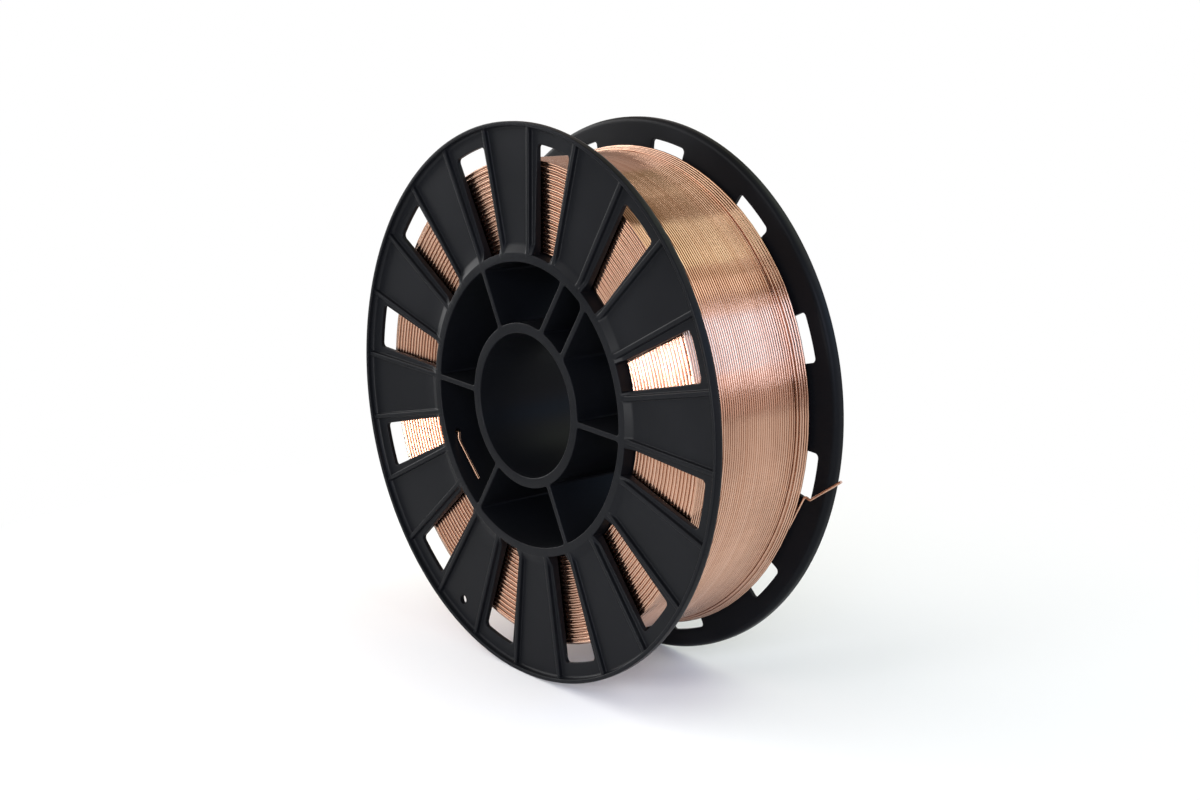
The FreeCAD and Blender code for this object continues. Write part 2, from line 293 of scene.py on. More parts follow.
def sector_mesh(side):
    """One twelfth of a flange with its piece of the barrel's outside, from rib to rib but one."""
    columns = sector_columns()
    plan = sector_plan(columns)
    rows = []

    def ring(radius, height, ribbed=False):
        rows.append([(radius, line_turn(column[0], radius),
                      rib_height(radius, height, column[1]) if ribbed else height)
                     for column in columns])

    rows.append([(BARREL - RING_EDGE, line_turn(column[0], BARREL), 0) for column in columns])
    for row, radii in enumerate(plan):
        points = []
        for column, (radius, turn) in zip(columns, radii):
            height = rib_height(radius, web_height(radius), column[1]) - fall_at(row, column)
            if row == 0 and column[2] == ("inside",):
                height = -RING_EDGE
            points.append((radius, turn, height))
        rows.append(points)
    fillet_centre = web_height(LIP_INSIDE - LIP_FILLET) + LIP_FILLET
    for step in range(1, FILLET_STEPS + 1):
        turn = math.pi / 2 * step / FILLET_STEPS
        ring(LIP_INSIDE - LIP_FILLET + LIP_FILLET * math.sin(turn),
             fillet_centre - LIP_FILLET * math.cos(turn), ribbed=True)
    for wide, fall in EDGE_ROUND:
        ring(LIP_INSIDE + wide, RIM_HEIGHT - fall, ribbed=wide == 0)
    ring(RIM - LIP_EDGE, RIM_HEIGHT)
    ring(RIM - 0.3 * LIP_EDGE, RIM_HEIGHT - 0.3 * LIP_EDGE)
    ring(RIM, RIM_HEIGHT - LIP_EDGE)
    for step in range(RIM_STEPS + 1):
        turn = math.pi / 2 * step / RIM_STEPS
        ring(RIM - RIM_ROUND + RIM_ROUND * math.cos(turn),
             WIRE_FACE_RIM_HEIGHT + RIM_ROUND - RIM_ROUND * math.sin(turn))
    first_back = len(rows)
    for row, radii in reversed(list(enumerate(plan))):
        rows.append([(radius, turn, wire_face_height(radius) + fall_at(row, column))
                     for column, (radius, turn) in zip(columns, radii)])
    for height in (-HALF_WIDTH / 2, -HALF_WIDTH):
        rows.append([(BARREL, line_turn(column[0], BARREL), height) for column in columns])

    mesh = bmesh.new()
    grid = [[mesh.verts.new(Vector((radius * math.sin(turn), side * (HALF_WIDTH + height),
                                    radius * math.cos(turn))) * MM)
             for radius, turn, height in row] for row in rows]
    places = [column[2] for column in columns]
    left = places.index(("side", 0, -1))
    right = places.index(("side", 0, 1))
    web_rows = len(WEB_RADII)
    window_front = range(1, 1 + WINDOW_TOP_ROW)
    window_back = range(first_back + web_rows - 1 - WINDOW_TOP_ROW, first_back + web_rows - 1)
    for row in range(len(rows) - 1):
        for column in range(len(columns) - 1):
            if left <= column < right and (row in window_front or row in window_back):
                continue
            mesh.faces.new((grid[row][column], grid[row + 1][column],
                            grid[row + 1][column + 1], grid[row][column + 1]))

    def behind(row):
        """Row of the inner face that lies behind a row of the outer one."""
        return first_back + web_rows - row

    for row in window_front:
        for column in (left, right):
            mesh.faces.new((grid[row][column], grid[row + 1][column],
                            grid[behind(row + 1)][column], grid[behind(row)][column]))
    for column in range(left, right):
        for row in (1, 1 + WINDOW_TOP_ROW):
            mesh.faces.new((grid[row][column], grid[row][column + 1],
                            grid[behind(row)][column + 1], grid[behind(row)][column]))
    data = bpy.data.meshes.new("sector")
    mesh.to_mesh(data)
    mesh.free()
    return data


def node_tree(name, sizes):
    """Geometry node tree with named inputs for its sizes, its input node and its output node."""
    tree = bpy.data.node_groups.new(name, "GeometryNodeTree")
    tree.interface.new_socket("Geometry", in_out="INPUT", socket_type="NodeSocketGeometry")
    for label, kind in sizes.items():
        tree.interface.new_socket(label, in_out="INPUT", socket_type="NodeSocket" + kind)
    tree.interface.new_socket("Geometry", in_out="OUTPUT", socket_type="NodeSocketGeometry")
    return tree, node(tree, "NodeGroupInput").outputs


def grown(name, data, tree, values):
    """Plain mesh that a node tree makes of a mesh with the given values for its named inputs."""
    carrier = bpy.data.objects.new(name, data)
    bpy.context.scene.collection.objects.link(carrier)
    modifier = carrier.modifiers.new("nodes", "NODES")
    modifier.node_group = tree
    for item in tree.interface.items_tree:
        if item.in_out == "INPUT" and item.name in values:
            modifier[item.identifier] = values[item.name]
    graph = bpy.context.evaluated_depsgraph_get()
    result = bpy.data.meshes.new_from_object(carrier.evaluated_get(graph))
    bpy.data.objects.remove(carrier)
    result.name = name
    # A mesh that came in without a material keeps an empty first slot, which goes.
    result.materials.clear()
    result.materials.append(values["Material"])
    for face in result.polygons:
        face.material_index = 0
    return result


# The ring tree sets one sector round the spindle axis as often as it is told to.
JOIN_WITHIN = 0.004 * MM
ring_tree, given = node_tree("sectors_in_a_ring", {"Count": "Int", "Material": "Material"})
slots = node(ring_tree, "GeometryNodePoints", {"Count": given["Count"]})
place_number = node(ring_tree, "GeometryNodeInputIndex")
step_angle = node(ring_tree, "ShaderNodeMath", {
    0: 2 * math.pi, 1: given["Count"],
}, operation="DIVIDE")
turned_by = node(ring_tree, "ShaderNodeMath", {
    0: place_number.outputs[0], 1: step_angle.outputs[0],
}, operation="MULTIPLY")
spin = node(ring_tree, "ShaderNodeCombineXYZ", {"Y": turned_by.outputs[0]})
copies = node(ring_tree, "GeometryNodeInstanceOnPoints", {
    "Points": slots.outputs[0], "Instance": given["Geometry"], "Rotation": spin.outputs[0],
})
real = node(ring_tree, "GeometryNodeRealizeInstances", {"Geometry": copies.outputs[0]})
joined = node(ring_tree, "GeometryNodeMergeByDistance", {
    "Geometry": real.outputs[0], "Distance": JOIN_WITHIN,
})
coloured = node(ring_tree, "GeometryNodeSetMaterial", {
    "Geometry": joined.outputs[0], "Material": given["Material"],
})
node(ring_tree, "NodeGroupOutput", {"Geometry": coloured.outputs[0]})

# The hub between barrel and sleeve: five thin ribs, and the two walls of the drive pocket. An
# edge is given as distance outside the hole and height over the hub's face.
HUB_WALLS = (93.0, 153.0, 213.0, 273.0, 333.0)
HUB_WALL_HALF = 1.0
POCKET = 33.0
POCKET_HALF = 5.6
POCKET_WALL = 2.1
HUB_CORNER = 1.2
POCKET_CORNER = 3.0
HUB_EDGE = ((0.35, 0.0), (0.1, -0.1), (0.0, -0.35))
BORE_EDGE = ((0.5, 0.0), (0.15, -0.15), (0.0, -0.5))
BORE_SIDES = 180
SLEEVE_STEPS = 24
BARREL_STEPS = 32
CORNER_STEPS = 6


def hub_hole(first_wall, first_half, second_wall, second_half, corners):
    """Outline in the XZ plane of a hole through the hub between two straight walls.

    A wall is given by its angle and the distance of its side from its middle; corners are the
    reaches of the round corners at the sleeve's first and second wall and at the barrel's second
    and first wall."""
    def on(radius, wall, half):
        return line_turn((wall, half, 0), radius)

    inner = [on(SLEEVE, first_wall, first_half), on(SLEEVE, second_wall, -second_half)]
    outer = [on(BARREL_INSIDE, first_wall, first_half), on(BARREL_INSIDE, second_wall, -second_half)]

    def flat(radius, turn):
        return Vector((radius * math.sin(turn), radius * math.cos(turn)))

    def along(start, end, radius, count):
        return [flat(radius, start + (end - start) * step / count) for step in range(count + 1)]

    sides = [along(inner[0], inner[1], SLEEVE, SLEEVE_STEPS),
             [flat(SLEEVE, inner[1]), flat(BARREL_INSIDE, outer[1])],
             along(outer[1], outer[0], BARREL_INSIDE, BARREL_STEPS),
             [flat(BARREL_INSIDE, outer[0]), flat(SLEEVE, inner[0])]]
    outline = []
    for index, side in enumerate(sides):
        start_cut = corners[index]
        end_cut = corners[(index + 1) % 4]
        kept = [point for point in side
                if (point - side[0]).length > start_cut and (point - side[-1]).length > end_cut]
        first_way = (side[1] - side[0]).normalized()
        last_way = (side[-2] - side[-1]).normalized()
        begin = side[0] + first_way * start_cut
        finish = side[-1] + last_way * end_cut
        outline += [begin] + kept + [finish]
        after = sides[(index + 1) % 4]
        leave = side[-1] + (after[1] - after[0]).normalized() * end_cut
        for step in range(1, CORNER_STEPS):
            share = step / CORNER_STEPS
            outline.append(finish * (1 - share) ** 2 + side[-1] * (2 * share * (1 - share))
                           + leave * share ** 2)
    return outline


def widened(outline, distance):
    """Outline of a hole moved outwards by a distance, and at a sharp corner by up to twice it."""
    moved = []
    ahead = outline[1:] + outline[:1]
    area = sum(point.x * after.y - after.x * point.y for point, after in zip(outline, ahead))
    hand = 1 if area > 0 else -1
    for before, point, after in zip(outline[-1:] + outline[:-1], outline, ahead):
        first = (point - before).normalized()
        second = (after - point).normalized()
        normal = Vector((first.y + second.y, -first.x - second.x)) * hand
        normal.normalize()
        lean = max(normal.dot(Vector((first.y, -first.x)) * hand), 0.5)
        moved.append(point + normal * (distance / lean))
    return moved


def moulded_half(side, name):
    """Closed mesh of one half: the ring of sectors, the hub's walls, face, bore and end."""
    ring = grown(name, sector_mesh(side), ring_tree, {
        "Count": SECTORS, "Material": moulded_plastic,
    })
    mesh = bmesh.new()
    mesh.from_mesh(ring)
    open_edges = [edge for edge in mesh.edges if edge.is_boundary]
    face_y = side * HALF_WIDTH * MM
    front = [edge for edge in open_edges
             if all(abs(vertex.co.y - face_y) < MM for vertex in edge.verts)]
    back = [edge for edge in open_edges if all(abs(vertex.co.y) < MM for vertex in edge.verts)]
    pocket_outer = POCKET_HALF + POCKET_WALL
    walls = ([(POCKET, pocket_outer)] + [(angle, HUB_WALL_HALF) for angle in HUB_WALLS]
             + [(POCKET + 360, pocket_outer)])
    holes = []
    for (first, first_half), (second, second_half) in zip(walls, walls[1:]):
        outline = hub_hole(first, first_half, second, second_half, [HUB_CORNER] * 4)
        holes.append((outline, HUB_EDGE))
    pocket = hub_hole(POCKET, -POCKET_HALF, POCKET, -POCKET_HALF,
                      [HUB_CORNER, HUB_CORNER, POCKET_CORNER, HUB_CORNER])
    holes.append((pocket, HUB_EDGE))
    circle = [Vector((math.sin(turn), math.cos(turn))) * BORE
              for turn in [2 * math.pi * index / BORE_SIDES for index in range(BORE_SIDES)]]
    holes.append((circle, BORE_EDGE))
    for outline, rounding in holes:
        levels = [(widened(outline, wide), height) for wide, height in rounding]
        levels += [(outline, -HALF_WIDTH / 2), (outline, -HALF_WIDTH)]
        loops = []
        for points, height in levels:
            y = side * (HALF_WIDTH + height)
            loops.append([mesh.verts.new(Vector((point.x, y, point.y)) * MM) for point in points])
        count = len(outline)
        for upper, lower in zip(loops, loops[1:]):
            for index in range(count):
                after = (index + 1) % count
                mesh.faces.new((upper[index], upper[after], lower[after], lower[index]))
        for loop, edges in ((loops[0], front), (loops[-1], back)):
            for index in range(count):
                edges.append(mesh.edges.get((loop[index], loop[(index + 1) % count])))
    for edges, way in ((front, side), (back, -side)):
        bmesh.ops.triangle_fill(mesh, use_beauty=True, use_dissolve=False, edges=edges,
                                normal=(0, way, 0))
    bmesh.ops.remove_doubles(mesh, verts=mesh.verts, dist=JOIN_WITHIN)
    bmesh.ops.recalc_face_normals(mesh, faces=mesh.faces)
    mesh.to_mesh(ring)
    mesh.free()
    return ring


SMOOTH_UNDER = math.radians(50)


def finished(name, data, modifiers=()):
    """Link a piece's mesh as an object, apply its modifiers, and hang it under the root body's empty.
    """
    piece = bpy.data.objects.new(name, data)
    bpy.context.scene.collection.objects.link(piece)
    for kind, settings in modifiers:
        modifier = piece.modifiers.new(kind, kind)
        for key, value in settings.items():
            setattr(modifier, key, value)
    if modifiers:
        graph = bpy.context.evaluated_depsgraph_get()
        applied = bpy.data.meshes.new_from_object(piece.evaluated_get(graph))
        piece.modifiers.clear()
        piece.data = applied
    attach(piece, "root")
    return piece


# The near half has two holes that the far one lacks: one in the flange, near the rim, given as
# radius, angle and size, and one in the barrel's wall, given as angle, depth and size. A depth is
# measured inwards from the hub's face, and a hole's size is its radius.
ANCHOR = (92.0, 205.5, 1.9)
ANCHOR_DEPTHS = (-3.0, 6.0)
BARREL_HOLE = (248.6, 5.2, 1.3)
BARREL_HOLE_PAST = 2.0
DRILL_SIDES = 40


def drill(name, start, end, radius):
    """Round cutter between two points, for a hole in a moulding."""
    mesh = bmesh.new()
    middle = (start + end) / 2
    turn = (end - start).to_track_quat("Z", "Y").to_matrix().to_4x4()
    bmesh.ops.create_cone(mesh, cap_ends=True, segments=DRILL_SIDES, radius1=radius, radius2=radius,
                          depth=(end - start).length, matrix=Matrix.Translation(middle) @ turn)
    data = bpy.data.meshes.new(name)
    mesh.to_mesh(data)
    mesh.free()
    data.materials.append(moulded_plastic)
    cutter = bpy.data.objects.new(name, data)
    bpy.context.scene.collection.objects.link(cutter)
    return cutter


def polar(radius, angle, y):
    """Place in metres of a radius in millimetres, an angle in degrees and a place along Y."""
    turn = math.radians(angle)
    return Vector((radius * math.sin(turn), y, radius * math.cos(turn))) * MM


radius, angle, bore = ANCHOR
start, end = [polar(radius, angle, depth - HALF_WIDTH) for depth in ANCHOR_DEPTHS]
cutters = [drill("anchor_drill", start, end, bore * MM)]
angle, depth, bore = BARREL_HOLE
start = polar(BARREL_INSIDE - BARREL_HOLE_PAST, angle, depth - HALF_WIDTH)
end = polar(BARREL + BARREL_HOLE_PAST, angle, depth - HALF_WIDTH)
cutters.append(drill("barrel_drill", start, end, bore * MM))
for side, name in HALVES:
    half = moulded_half(side, name)
    steps = []
    if side < 0:
        steps = [("BOOLEAN", {"operation": "DIFFERENCE", "solver": "EXACT", "object": cutter})
                 for cutter in cutters]
    half.shade_smooth()
    half.set_sharp_from_angle(angle=SMOOTH_UNDER)
    steps.append(("WEIGHTED_NORMAL", {"keep_sharp": True}))
    piece = finished("moulded_" + name, half, steps)
    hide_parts(name)
for cutter in cutters:
    bpy.data.objects.remove(cutter)


# Copper-coated steel wire, 1 mm thick, drawn bright: a warm, slightly blurred mirror. The tone
# changes a little from turn to turn, and dull smudges lie over it. Its drawing lines are drawn
# coarser than the real ones, which are too fine to show.
COPPER = "#cda892"
COPPER_DARK = "#c19880"
COPPER_DULL = "#b48f7a"
SMUDGE = 26 * MM
DRAWING_LINE = 0.16 * MM
DRAWING_DEPTH = 0.003 * MM
TONES_IN_A_TURN = 1.3

coppered_wire, tree, output = new_material("drawn_copper_coated_wire")
spot = node(tree, "ShaderNodeTexCoord").outputs["Object"]
turn_number = node(tree, "ShaderNodeAttribute", attribute_name="turn")
by_turn = node(tree, "ShaderNodeTexNoise", {
    "W": turn_number.outputs["Fac"], "Scale": TONES_IN_A_TURN, "Detail": 2.0,
}, noise_dimensions="1D")
smudges = node(tree, "ShaderNodeTexNoise", {
    "Vector": spot, "Scale": 1 / SMUDGE, "Detail": 4.0, "Roughness": 0.6,
})
across_the_turns = node(tree, "ShaderNodeSeparateXYZ", {"Vector": spot}).outputs["Y"]
lines = node(tree, "ShaderNodeTexNoise", {
    "W": across_the_turns, "Scale": 1 / DRAWING_LINE, "Detail": 2.0,
}, noise_dimensions="1D")
turn_tone = node(tree, "ShaderNodeMapRange", {
    "Value": by_turn.outputs["Fac"], "From Min": 0.3, "From Max": 0.7,
})
turn_colour = node(tree, "ShaderNodeMix", {
    "Factor": turn_tone.outputs["Result"], "A": to_linear(COPPER), "B": to_linear(COPPER_DARK),
}, data_type="RGBA")
smudge_amount = node(tree, "ShaderNodeMapRange", {
    "Value": smudges.outputs["Fac"], "From Min": 0.48, "From Max": 0.68, "To Max": 0.45,
})
wire_colour = node(tree, "ShaderNodeMix", {
    "Factor": smudge_amount.outputs["Result"], "A": turn_colour.outputs["Result"],
    "B": to_linear(COPPER_DULL),
}, data_type="RGBA")
wire_roughness = node(tree, "ShaderNodeMapRange", {
    "Value": smudges.outputs["Fac"], "From Min": 0.35, "From Max": 0.7, "To Min": 0.1, "To Max": 0.17,
})
drawn = node(tree, "ShaderNodeBump", {
    "Height": lines.outputs["Fac"], "Distance": DRAWING_DEPTH, "Strength": 0.15,
})
metal = node(tree, "ShaderNodeBsdfPrincipled", {
    "Base Color": wire_colour.outputs["Result"], "Metallic": 1.0,
    "Roughness": wire_roughness.outputs["Result"], "Normal": drawn.outputs["Normal"],
})
tree.links.new(metal.outputs["BSDF"], output.inputs["Surface"])


# Outer layer of the wire: one length, wound in touching turns from the near flange to the far one,
# where the pack swells. There it turns back over itself for half of the band's turns, then out
# again on top of those, and the band stands highest on its loose side, at the right.
WIRE = 1.0
WIRE_RADIUS = WIRE / 2
LEAVE_ANGLE = 119.0
PACK_CENTRE = 86.7
LAYER_STEP = 0.87
FIRST_Y = -24.22
MAIN_TURNS = 48
LAST_Y = 24.25
BAND_CENTRE = 88.8
BAND_Y = 24.38
POINTS_IN_A_TURN = 90
WIRE_SIDES = 10
WAVES_IN_A_TURN = 2.6
LOOSER = 5.0
NOISE_STARTS = (3.7, 91.3)

# The winding tree lays a wire along a guide, which gives the turn number as X, the place along
# the axis as Y and the radius as Z. Noise with fixed starts makes the turns a little uneven, and
# the loose ones, further out, more so.
winding_tree, given = node_tree("wire_on_a_guide", {
    "Points": "Int", "Wire Radius": "Float", "Sides": "Int", "Start Angle": "Float",
    "Unevenness": "Float", "Even To Radius": "Float", "Loose From Radius": "Float",
    "Material": "Material",
})
guide = node(winding_tree, "GeometryNodeMeshToCurve", {"Mesh": given["Geometry"]})
laid = node(winding_tree, "GeometryNodeResampleCurve", {
    "Curve": guide.outputs[0], "Count": given["Points"],
})
where = node(winding_tree, "ShaderNodeSeparateXYZ", {
    "Vector": node(winding_tree, "GeometryNodeInputPosition").outputs[0],
})
numbered = node(winding_tree, "GeometryNodeStoreNamedAttribute", {
    "Geometry": laid.outputs[0], "Name": "turn", "Value": where.outputs["X"],
}, data_type="FLOAT", domain="POINT")
looseness = node(winding_tree, "ShaderNodeMapRange", {
    "Value": where.outputs["Z"], "From Min": given["Even To Radius"],
    "From Max": given["Loose From Radius"], "To Min": 1.0, "To Max": LOOSER,
})
amount = node(winding_tree, "ShaderNodeMath", {
    0: looseness.outputs["Result"], 1: given["Unevenness"],
}, operation="MULTIPLY")
uneven = []
for start, along in zip(NOISE_STARTS, ("Z", "Y")):
    moved = node(winding_tree, "ShaderNodeMath", {0: where.outputs["X"], 1: start}, operation="ADD")
    noise = node(winding_tree, "ShaderNodeTexNoise", {
        "W": moved.outputs[0], "Scale": WAVES_IN_A_TURN, "Detail": 1.0,
    }, noise_dimensions="1D")
    centred = node(winding_tree, "ShaderNodeMath", {
        0: noise.outputs["Fac"], 1: 0.5,
    }, operation="SUBTRACT")
    shift = node(winding_tree, "ShaderNodeMath", {
        0: centred.outputs[0], 1: amount.outputs[0],
    }, operation="MULTIPLY")
    uneven.append(node(winding_tree, "ShaderNodeMath", {
        0: where.outputs[along], 1: shift.outputs[0],
    }, operation="ADD"))
far_out, far_along = uneven
wound_angle = node(winding_tree, "ShaderNodeMath", {
    0: where.outputs["X"], 1: -2 * math.pi, 2: given["Start Angle"],
}, operation="MULTIPLY_ADD")
sine = node(winding_tree, "ShaderNodeMath", {0: wound_angle.outputs[0]}, operation="SINE")
cosine = node(winding_tree, "ShaderNodeMath", {0: wound_angle.outputs[0]}, operation="COSINE")
on_drum = node(winding_tree, "ShaderNodeCombineXYZ", {
    "X": node(winding_tree, "ShaderNodeMath", {0: far_out.outputs[0], 1: sine.outputs[0]},
              operation="MULTIPLY").outputs[0],
    "Y": far_along.outputs[0],
    "Z": node(winding_tree, "ShaderNodeMath", {0: far_out.outputs[0], 1: cosine.outputs[0]},
              operation="MULTIPLY").outputs[0],
})
wrapped = node(winding_tree, "GeometryNodeSetPosition", {
    "Geometry": numbered.outputs[0], "Position": on_drum.outputs[0],
})
section = node(winding_tree, "GeometryNodeCurvePrimitiveCircle", {
    "Resolution": given["Sides"], "Radius": given["Wire Radius"],
})
wire_tube = node(winding_tree, "GeometryNodeCurveToMesh", {
    "Curve": wrapped.outputs[0], "Profile Curve": section.outputs[0], "Fill Caps": True,
})
smoothed = node(winding_tree, "GeometryNodeSetShadeSmooth", {"Geometry": wire_tube.outputs[0]})
whole = node(winding_tree, "GeometryNodeRealizeInstances", {"Geometry": smoothed.outputs[0]})
coppered = node(winding_tree, "GeometryNodeSetMaterial", {
    "Geometry": whole.outputs[0], "Material": given["Material"],
})
node(winding_tree, "NodeGroupOutput", {"Geometry": coppered.outputs[0]})


def wound(name, keys, start_angle, unevenness, even_to):
    """Wire wound along keys of (turn number, place along Y, radius of the wire's middle).

    Its turns are even up to a radius, and fully loose from one wire further out."""
    data = bpy.data.meshes.new(name + "_guide")
    corners = [(turn, y * MM, radius * MM) for turn, y, radius in keys]
    data.from_pydata(corners, [(index, index + 1) for index in range(len(corners) - 1)], [])
    turns = keys[-1][0] - keys[0][0]
    return grown(name, data, winding_tree, {
        "Points": round(turns * POINTS_IN_A_TURN), "Wire Radius": WIRE_RADIUS * MM,
        "Sides": WIRE_SIDES, "Start Angle": start_angle, "Unevenness": unevenness * MM,
        "Even To Radius": even_to * MM, "Loose From Radius": (even_to + WIRE) * MM,
        "Material": coppered_wire,
    })


BAND_TURNS = 10
BAND_PITCH = 1.02
TURNS_BACK = 5
CLIMB = 0.3
TURN_ROUND = 0.2
LOOSE_ANGLE = 95.0
SWELL = 2.95
SWELL_FROM_Y = 8.0
BULGE_ANGLE = 58.0
BULGE_HALF = 30.0
BULGE = 0.7
KEYS_IN_A_TURN = 24
KEYS_TO_THE_END = 9
START_TUCK = 0.4
START_SINK = 0.2
PACK_UNEVENNESS = 0.04
BAND_CLEARANCE = 0.1


def band_share(angle):
    """Share of its full height that the band keeps at an angle: it lies low away from its loose
    side, sunk between the turns beneath."""
    return (0.5 + 0.5 * math.cos(math.radians(angle - LOOSE_ANGLE))) ** 2


def surface_height(angle, y):
    """How far the pack's surface stands out at an angle: it swells towards the far flange, where
    with the band on it, it is about as high all round, apart from a bulge at the upper right."""
    from_bulge = min(1, abs((angle - BULGE_ANGLE + 180) % 360 - 180) / BULGE_HALF)
    full = SWELL - 2 * LAYER_STEP * band_share(angle)
    full += BULGE * math.cos(math.pi / 2 * from_bulge) ** 2
    share = max(0, (y - SWELL_FROM_Y) / (LAST_Y - SWELL_FROM_Y)) ** 2
    return full * share


def wound_point(turn, layers, y):
    """Guide point of a turn, counted from the near flange, that lies some layers over the pack."""
    angle = LEAVE_ANGLE + 360 * (MAIN_TURNS + BAND_TURNS - turn)
    height = surface_height(angle, y) + LAYER_STEP * layers * band_share(angle)
    return turn, y, PACK_CENTRE + height


# The wire comes up out of the layer beneath, and the keys that are left out let it climb, turn
# round and come to its end in a smooth slope.
keys = [(-CLIMB, FIRST_Y + START_TUCK, PACK_CENTRE - LAYER_STEP - START_SINK)]
for step in range(KEYS_IN_A_TURN * (MAIN_TURNS + BAND_TURNS) - KEYS_TO_THE_END):
    turn = step / KEYS_IN_A_TURN
    on_band = turn - MAIN_TURNS
    if on_band <= 0:
        keys.append(wound_point(turn, 0, FIRST_Y + (LAST_Y - FIRST_Y) * turn / MAIN_TURNS))
    elif CLIMB < on_band < TURNS_BACK:
        y = LAST_Y - BAND_CLEARANCE - on_band * BAND_PITCH
        keys.append(wound_point(turn, 1, y))
    elif on_band > TURNS_BACK + TURN_ROUND:
        y = BAND_Y - BAND_CLEARANCE - (BAND_TURNS - on_band) * BAND_PITCH
        keys.append(wound_point(turn, 2, y))
keys.append((MAIN_TURNS + BAND_TURNS, BAND_Y, BAND_CENTRE))
start = math.radians(LEAVE_ANGLE) + 2 * math.pi * (MAIN_TURNS + BAND_TURNS)
layer = wound("outer_layer_of_wire", keys, start, PACK_UNEVENNESS, PACK_CENTRE + WIRE_RADIUS)
piece = finished("wire_winding", layer)
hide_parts("wire_outer_layer")


# Sides of the coil, seen through the flange windows: the last turn of each layer beneath. Every
# other layer reaches further, as wires that lie in each other's grooves do.
INNER_CENTRE = 55.2
SIDE_SEAT = 0.3
LAYER_RECESS = 0.44
CROSSING = 0.14
SIDE_START = math.radians(24)
SIDE_UNEVENNESS = 0.1


def coil_side(side, name):
    """The last turns of all layers on one side, as one wire that steps out by a layer a turn.

    It takes the share CROSSING of each turn to cross over to the next layer."""
    keys = []
    layers = int((PACK_CENTRE - LAYER_STEP - INNER_CENTRE) / LAYER_STEP) + 1
    for turn in range(layers):
        radius = PACK_CENTRE - LAYER_STEP * (layers - turn)
        reach = HALF_WIDTH + wire_face_height(radius + WIRE_RADIUS) - SIDE_SEAT - WIRE_RADIUS
        y = side * (reach - LAYER_RECESS * (turn % 2))
        keys.append((turn, y, radius))
        keys.append((turn + 1 - CROSSING, y, radius))
    return wound(name, keys, SIDE_START, SIDE_UNEVENNESS, PACK_CENTRE)


for side, name in ((-1, "near"), (1, "far")):
    data = coil_side(side, "coil_side_" + name)
    piece = finished("wire_coil_side_" + name, data)
    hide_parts("wire_core")

# Heart of the coil: the turns that nothing shows, as one ribbed ring behind the sides.
HEART_SEAT = 1.1
HEART_INSIDE = BARREL + 0.3
HEART_OUTSIDE = 86.1
HEART_GROOVE = 0.2
HEART_SIDES = 144
outline = []
layers = int((HEART_OUTSIDE - BARREL) / LAYER_STEP)
for side in (-1, 1):
    edge = []
    for layer_number in range(layers + 1):
        radius = min(HEART_INSIDE + LAYER_STEP * layer_number, HEART_OUTSIDE)
        reach = HALF_WIDTH + wire_face_height(radius) - HEART_SEAT
        edge.append((radius, side * (reach - HEART_GROOVE * (layer_number % 2))))
    outline += edge if side < 0 else edge[::-1]
mesh = bmesh.new()
rings = []
for index in range(HEART_SIDES):
    angle = 360 * index / HEART_SIDES
    rings.append([mesh.verts.new(polar(radius, angle, y)) for radius, y in outline])
for ring, following in zip(rings, rings[1:] + rings[:1]):
    for index in range(len(outline)):
        after = (index + 1) % len(outline)
        mesh.faces.new((ring[index], ring[after], following[after], following[index]))
bmesh.ops.recalc_face_normals(mesh, faces=mesh.faces)
data = bpy.data.meshes.new("wire_coil_heart")
mesh.to_mesh(data)
mesh.free()
data.materials.append(coppered_wire)
piece = finished("wire_coil_heart", data)
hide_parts("wire_core")


# Ends of the wire, stiff as they were bent by hand: the outer one leaves the band at a tangent,
# is kinked at a window of the far flange and ends past its rim. The inner one comes in through
# the barrel's hole and lies along the wall of a hub compartment.
BEND_STEPS = 6


def bent(points, radii):
    """Points of a line through the given points whose inner corners are arcs of given radii."""
    line = [points[0]]
    for before, corner, after, radius in zip(points, points[1:], points[2:], radii):
        back = (before - corner).normalized()
        ahead = (after - corner).normalized()
        half_angle = back.angle(ahead) / 2
        reach = radius * MM / math.tan(half_angle)
        centre = corner + (back + ahead).normalized() * (radius * MM / math.sin(half_angle))
        first = (corner + back * reach - centre).normalized()
        last = (corner + ahead * reach - centre).normalized()
        for step in range(BEND_STEPS + 1):
            line.append(centre + first.slerp(last, step / BEND_STEPS) * radius * MM)
    line.append(points[-1])
    return line


def wire_end(name, line):
    """Wire along a line of points, cut off square."""
    curve = bpy.data.curves.new(name, "CURVE")
    curve.dimensions = "3D"
    curve.bevel_depth = WIRE_RADIUS * MM
    curve.bevel_resolution = 4
    curve.use_fill_caps = True
    spline = curve.splines.new("POLY")
    spline.points.add(len(line) - 1)
    for point, corner in zip(spline.points, line):
        point.co = (*corner, 1)
    carrier = bpy.data.objects.new(name, curve)
    bpy.context.scene.collection.objects.link(carrier)
    graph = bpy.context.evaluated_depsgraph_get()
    data = bpy.data.meshes.new_from_object(carrier.evaluated_get(graph))
    bpy.data.objects.remove(carrier)
    mesh = bmesh.new()
    mesh.from_mesh(data)
    bmesh.ops.remove_doubles(mesh, verts=mesh.verts, dist=JOIN_WITHIN)
    bmesh.ops.recalc_face_normals(mesh, faces=mesh.faces)
    mesh.to_mesh(data)
    mesh.free()
    data.shade_smooth()
    data.set_sharp_from_angle(angle=SMOOTH_UNDER)
    data.materials.append(coppered_wire)
    return data


